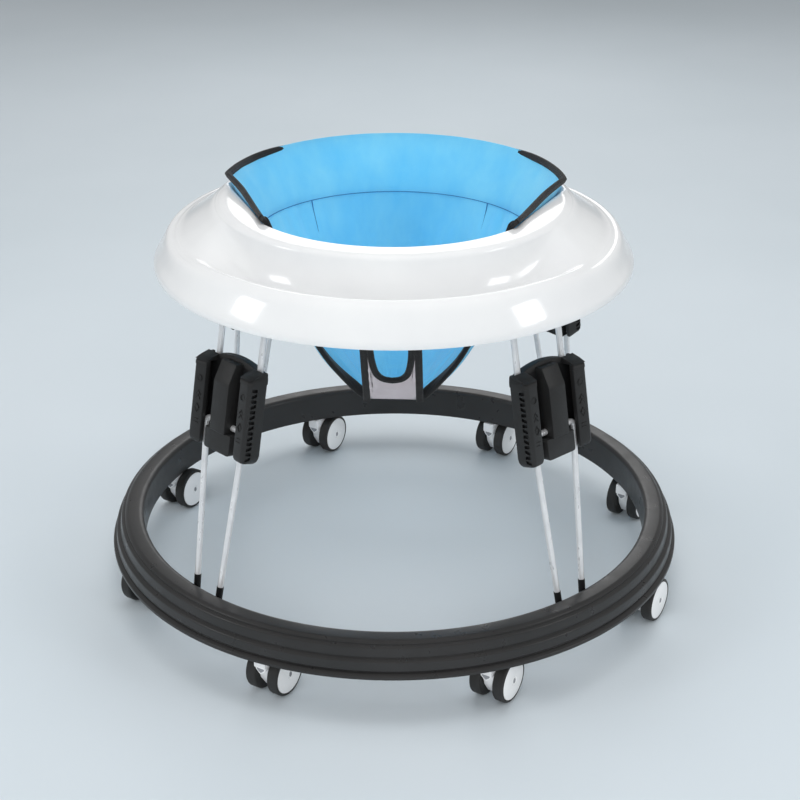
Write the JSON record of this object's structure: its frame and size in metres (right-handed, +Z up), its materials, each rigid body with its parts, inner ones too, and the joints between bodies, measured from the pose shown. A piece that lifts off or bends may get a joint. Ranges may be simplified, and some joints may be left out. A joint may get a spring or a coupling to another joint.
{
  "type": "baby walker",
  "caption": "Round baby walker: padded seat hung in a glossy tray, telescoping wire legs on a stepped bumper ring with twin-wheel swivel casters.",
  "frame": {"origin": "on the floor under the centre of the bumper ring", "axes": "+Z up; the seated child faces -Y, towards the tray's recess; +X to the right of someone who faces the child"},
  "size_m": [0.69, 0.69, 0.495],
  "materials": {
    "ring_plastic": "satin black moulded polypropylene",
    "adjuster_plastic": "fine-textured black polypropylene",
    "tray_plastic": "glossy white moulding",
    "caster_plastic": "satin white moulding",
    "wheel_hub": "glossy white disc",
    "tyre_rubber": "matt black",
    "wire_steel": "bright plated steel wire",
    "seat_fabric": "sky blue woven polyester over thin wadding",
    "crotch_fabric": "pale pinkish-grey woven polyester",
    "binding": "black woven binding tape"
  },
  "bodies": {
    "base": {"base_ring": "ring_plastic"},
    "tray": {"tray": "tray_plastic", "tray_bracket_front_right": "adjuster_plastic", "tray_bracket_rear_right": "adjuster_plastic", "tray_bracket_rear_left": "adjuster_plastic", "tray_bracket_front_left": "adjuster_plastic", "seat_panel": "seat_fabric", "front_panel": "crotch_fabric"},
    "lower_frame_front_right": {"lower_frame_front_right": "wire_steel"},
    "upper_frame_front_right": {"upper_frame_front_right": "wire_steel", "adjuster_body_front_right": "adjuster_plastic"},
    "grip_right_front_right": {"grip_right_front_right": "adjuster_plastic"},
    "grip_left_front_right": {"grip_left_front_right": "adjuster_plastic"},
    "lower_frame_rear_right": {"lower_frame_rear_right": "wire_steel"},
    "upper_frame_rear_right": {"upper_frame_rear_right": "wire_steel", "adjuster_body_rear_right": "adjuster_plastic"},
    "grip_right_rear_right": {"grip_right_rear_right": "adjuster_plastic"},
    "grip_left_rear_right": {"grip_left_rear_right": "adjuster_plastic"},
    "lower_frame_rear_left": {"lower_frame_rear_left": "wire_steel"},
    "upper_frame_rear_left": {"upper_frame_rear_left": "wire_steel", "adjuster_body_rear_left": "adjuster_plastic"},
    "grip_right_rear_left": {"grip_right_rear_left": "adjuster_plastic"},
    "grip_left_rear_left": {"grip_left_rear_left": "adjuster_plastic"},
    "lower_frame_front_left": {"lower_frame_front_left": "wire_steel"},
    "upper_frame_front_left": {"upper_frame_front_left": "wire_steel", "adjuster_body_front_left": "adjuster_plastic"},
    "grip_right_front_left": {"grip_right_front_left": "adjuster_plastic"},
    "grip_left_front_left": {"grip_left_front_left": "adjuster_plastic"},
    "caster_1": {"caster_1_fork": "caster_plastic", "caster_1_axle": "wire_steel"},
    "caster_1_wheel_left": {"caster_1_wheel_left": "tyre_rubber"},
    "caster_1_wheel_right": {"caster_1_wheel_right": "tyre_rubber"},
    "caster_2": {"caster_2_fork": "caster_plastic", "caster_2_axle": "wire_steel"},
    "caster_2_wheel_left": {"caster_2_wheel_left": "tyre_rubber"},
    "caster_2_wheel_right": {"caster_2_wheel_right": "tyre_rubber"},
    "caster_3": {"caster_3_fork": "caster_plastic", "caster_3_axle": "wire_steel"},
    "caster_3_wheel_left": {"caster_3_wheel_left": "tyre_rubber"},
    "caster_3_wheel_right": {"caster_3_wheel_right": "tyre_rubber"},
    "caster_4": {"caster_4_fork": "caster_plastic", "caster_4_axle": "wire_steel"},
    "caster_4_wheel_left": {"caster_4_wheel_left": "tyre_rubber"},
    "caster_4_wheel_right": {"caster_4_wheel_right": "tyre_rubber"},
    "caster_5": {"caster_5_fork": "caster_plastic", "caster_5_axle": "wire_steel"},
    "caster_5_wheel_left": {"caster_5_wheel_left": "tyre_rubber"},
    "caster_5_wheel_right": {"caster_5_wheel_right": "tyre_rubber"},
    "caster_6": {"caster_6_fork": "caster_plastic", "caster_6_axle": "wire_steel"},
    "caster_6_wheel_left": {"caster_6_wheel_left": "tyre_rubber"},
    "caster_6_wheel_right": {"caster_6_wheel_right": "tyre_rubber"},
    "caster_7": {"caster_7_fork": "caster_plastic", "caster_7_axle": "wire_steel"},
    "caster_7_wheel_left": {"caster_7_wheel_left": "tyre_rubber"},
    "caster_7_wheel_right": {"caster_7_wheel_right": "tyre_rubber"},
    "caster_8": {"caster_8_fork": "caster_plastic", "caster_8_axle": "wire_steel"},
    "caster_8_wheel_left": {"caster_8_wheel_left": "tyre_rubber"},
    "caster_8_wheel_right": {"caster_8_wheel_right": "tyre_rubber"}
  },
  "joints": [
    {"name": "height_adjust", "type": "slide", "parent": "base", "child": "tray", "axis": [0, 0, 1], "range_m": [-0.06, 0]},
    {"name": "foot_hinge_front_right", "type": "hinge", "parent": "base", "child": "lower_frame_front_right", "pos_m": [0.22485, -0.22485, 0.06102], "axis": [0.7071, 0.7071, 0], "range_deg": [-2.2, 0.1]},
    {"name": "tray_hinge_front_right", "type": "hinge", "parent": "tray", "child": "upper_frame_front_right", "pos_m": [0.15677, -0.15677, 0.4179], "axis": [0.7071, 0.7071, 0], "range_deg": [-2.2, 0.1]},
    {"name": "grip_right_front_right_pull", "type": "slide", "parent": "upper_frame_front_right", "child": "grip_right_front_right", "axis": [0.7071, 0.7071, 0], "range_m": [0, 0.004], "stiffness_N_per_m": 600, "springref_m": -0.001},
    {"name": "grip_left_front_right_pull", "type": "slide", "parent": "upper_frame_front_right", "child": "grip_left_front_right", "axis": [-0.7071, -0.7071, 0], "range_m": [0, 0.004], "stiffness_N_per_m": 600, "springref_m": -0.001},
    {"name": "foot_hinge_rear_right", "type": "hinge", "parent": "base", "child": "lower_frame_rear_right", "pos_m": [0.22874, 0.2209, 0.06102], "axis": [-0.6947, 0.7193, 0], "range_deg": [-2.2, 0.1]},
    {"name": "tray_hinge_rear_right", "type": "hinge", "parent": "tray", "child": "upper_frame_rear_right", "pos_m": [0.15948, 0.15401, 0.4179], "axis": [-0.6947, 0.7193, 0], "range_deg": [-2.2, 0.1]},
    {"name": "grip_right_rear_right_pull", "type": "slide", "parent": "upper_frame_rear_right", "child": "grip_right_rear_right", "axis": [-0.6947, 0.7193, 0], "range_m": [0, 0.004], "stiffness_N_per_m": 600, "springref_m": -0.001},
    {"name": "grip_left_rear_right_pull", "type": "slide", "parent": "upper_frame_rear_right", "child": "grip_left_rear_right", "axis": [0.6947, -0.7193, 0], "range_m": [0, 0.004], "stiffness_N_per_m": 600, "springref_m": -0.001},
    {"name": "foot_hinge_rear_left", "type": "hinge", "parent": "base", "child": "lower_frame_rear_left", "pos_m": [-0.22874, 0.2209, 0.06102], "axis": [-0.6947, -0.7193, 0], "range_deg": [-2.2, 0.1]},
    {"name": "tray_hinge_rear_left", "type": "hinge", "parent": "tray", "child": "upper_frame_rear_left", "pos_m": [-0.15948, 0.15401, 0.4179], "axis": [-0.6947, -0.7193, 0], "range_deg": [-2.2, 0.1]},
    {"name": "grip_right_rear_left_pull", "type": "slide", "parent": "upper_frame_rear_left", "child": "grip_right_rear_left", "axis": [-0.6947, -0.7193, 0], "range_m": [0, 0.004], "stiffness_N_per_m": 600, "springref_m": -0.001},
    {"name": "grip_left_rear_left_pull", "type": "slide", "parent": "upper_frame_rear_left", "child": "grip_left_rear_left", "axis": [0.6947, 0.7193, 0], "range_m": [0, 0.004], "stiffness_N_per_m": 600, "springref_m": -0.001},
    {"name": "foot_hinge_front_left", "type": "hinge", "parent": "base", "child": "lower_frame_front_left", "pos_m": [-0.21278, -0.23631, 0.06102], "axis": [0.7431, -0.6691, 0], "range_deg": [-2.2, 0.1]},
    {"name": "tray_hinge_front_left", "type": "hinge", "parent": "tray", "child": "upper_frame_front_left", "pos_m": [-0.14835, -0.16476, 0.4179], "axis": [0.7431, -0.6691, 0], "range_deg": [-2.2, 0.1]},
    {"name": "grip_right_front_left_pull", "type": "slide", "parent": "upper_frame_front_left", "child": "grip_right_front_left", "axis": [0.7431, -0.6691, 0], "range_m": [0, 0.004], "stiffness_N_per_m": 600, "springref_m": -0.001},
    {"name": "grip_left_front_left_pull", "type": "slide", "parent": "upper_frame_front_left", "child": "grip_left_front_left", "axis": [-0.7431, 0.6691, 0], "range_m": [0, 0.004], "stiffness_N_per_m": 600, "springref_m": -0.001},
    {"name": "caster_1_swivel", "type": "hinge", "parent": "base", "child": "caster_1", "pos_m": [0.29564, 0.12246, 0.06], "axis": [0, 0, 1], "continuous": true},
    {"name": "caster_1_left_spin", "type": "hinge", "parent": "caster_1", "child": "caster_1_wheel_left", "pos_m": [0.31397, 0.12602, 0.026], "axis": [-0.8746, 0.4848, 0], "continuous": true},
    {"name": "caster_1_right_spin", "type": "hinge", "parent": "caster_1", "child": "caster_1_wheel_right", "pos_m": [0.28895, 0.13989, 0.026], "axis": [-0.8746, 0.4848, 0], "continuous": true},
    {"name": "caster_2_swivel", "type": "hinge", "parent": "base", "child": "caster_2", "pos_m": [0.12246, 0.29564, 0.06], "axis": [0, 0, 1], "continuous": true},
    {"name": "caster_2_left_spin", "type": "hinge", "parent": "caster_2", "child": "caster_2_wheel_left", "pos_m": [0.14078, 0.2992, 0.026], "axis": [-0.8746, 0.4848, 0], "continuous": true},
    {"name": "caster_2_right_spin", "type": "hinge", "parent": "caster_2", "child": "caster_2_wheel_right", "pos_m": [0.11577, 0.31307, 0.026], "axis": [-0.8746, 0.4848, 0], "continuous": true},
    {"name": "caster_3_swivel", "type": "hinge", "parent": "base", "child": "caster_3", "pos_m": [-0.12246, 0.29564, 0.06], "axis": [0, 0, 1], "continuous": true},
    {"name": "caster_3_left_spin", "type": "hinge", "parent": "caster_3", "child": "caster_3_wheel_left", "pos_m": [-0.10413, 0.2992, 0.026], "axis": [-0.8746, 0.4848, 0], "continuous": true},
    {"name": "caster_3_right_spin", "type": "hinge", "parent": "caster_3", "child": "caster_3_wheel_right", "pos_m": [-0.12915, 0.31307, 0.026], "axis": [-0.8746, 0.4848, 0], "continuous": true},
    {"name": "caster_4_swivel", "type": "hinge", "parent": "base", "child": "caster_4", "pos_m": [-0.29564, 0.12246, 0.06], "axis": [0, 0, 1], "continuous": true},
    {"name": "caster_4_left_spin", "type": "hinge", "parent": "caster_4", "child": "caster_4_wheel_left", "pos_m": [-0.27732, 0.12602, 0.026], "axis": [-0.8746, 0.4848, 0], "continuous": true},
    {"name": "caster_4_right_spin", "type": "hinge", "parent": "caster_4", "child": "caster_4_wheel_right", "pos_m": [-0.30233, 0.13989, 0.026], "axis": [-0.8746, 0.4848, 0], "continuous": true},
    {"name": "caster_5_swivel", "type": "hinge", "parent": "base", "child": "caster_5", "pos_m": [-0.29564, -0.12246, 0.06], "axis": [0, 0, 1], "continuous": true},
    {"name": "caster_5_left_spin", "type": "hinge", "parent": "caster_5", "child": "caster_5_wheel_left", "pos_m": [-0.27732, -0.1189, 0.026], "axis": [-0.8746, 0.4848, 0], "continuous": true},
    {"name": "caster_5_right_spin", "type": "hinge", "parent": "caster_5", "child": "caster_5_wheel_right", "pos_m": [-0.30233, -0.10503, 0.026], "axis": [-0.8746, 0.4848, 0], "continuous": true},
    {"name": "caster_6_swivel", "type": "hinge", "parent": "base", "child": "caster_6", "pos_m": [-0.12246, -0.29564, 0.06], "axis": [0, 0, 1], "continuous": true},
    {"name": "caster_6_left_spin", "type": "hinge", "parent": "caster_6", "child": "caster_6_wheel_left", "pos_m": [-0.10413, -0.29208, 0.026], "axis": [-0.8746, 0.4848, 0], "continuous": true},
    {"name": "caster_6_right_spin", "type": "hinge", "parent": "caster_6", "child": "caster_6_wheel_right", "pos_m": [-0.12915, -0.27821, 0.026], "axis": [-0.8746, 0.4848, 0], "continuous": true},
    {"name": "caster_7_swivel", "type": "hinge", "parent": "base", "child": "caster_7", "pos_m": [0.12246, -0.29564, 0.06], "axis": [0, 0, 1], "continuous": true},
    {"name": "caster_7_left_spin", "type": "hinge", "parent": "caster_7", "child": "caster_7_wheel_left", "pos_m": [0.14078, -0.29208, 0.026], "axis": [-0.8746, 0.4848, 0], "continuous": true},
    {"name": "caster_7_right_spin", "type": "hinge", "parent": "caster_7", "child": "caster_7_wheel_right", "pos_m": [0.11577, -0.27821, 0.026], "axis": [-0.8746, 0.4848, 0], "continuous": true},
    {"name": "caster_8_swivel", "type": "hinge", "parent": "base", "child": "caster_8", "pos_m": [0.29564, -0.12246, 0.06], "axis": [0, 0, 1], "continuous": true},
    {"name": "caster_8_left_spin", "type": "hinge", "parent": "caster_8", "child": "caster_8_wheel_left", "pos_m": [0.31397, -0.1189, 0.026], "axis": [-0.8746, 0.4848, 0], "continuous": true},
    {"name": "caster_8_right_spin", "type": "hinge", "parent": "caster_8", "child": "caster_8_wheel_right", "pos_m": [0.28895, -0.10503, 0.026], "axis": [-0.8746, 0.4848, 0], "continuous": true}
  ],
  "couplings": [
    {"joint": "foot_hinge_front_right", "follows": "height_adjust", "rad_per_m": 0.593},
    {"joint": "tray_hinge_front_right", "follows": "height_adjust", "rad_per_m": 0.593},
    {"joint": "foot_hinge_rear_right", "follows": "height_adjust", "rad_per_m": 0.593},
    {"joint": "tray_hinge_rear_right", "follows": "height_adjust", "rad_per_m": 0.593},
    {"joint": "foot_hinge_rear_left", "follows": "height_adjust", "rad_per_m": 0.593},
    {"joint": "tray_hinge_rear_left", "follows": "height_adjust", "rad_per_m": 0.593},
    {"joint": "foot_hinge_front_left", "follows": "height_adjust", "rad_per_m": 0.593},
    {"joint": "tray_hinge_front_left", "follows": "height_adjust", "rad_per_m": 0.593}
  ]
}
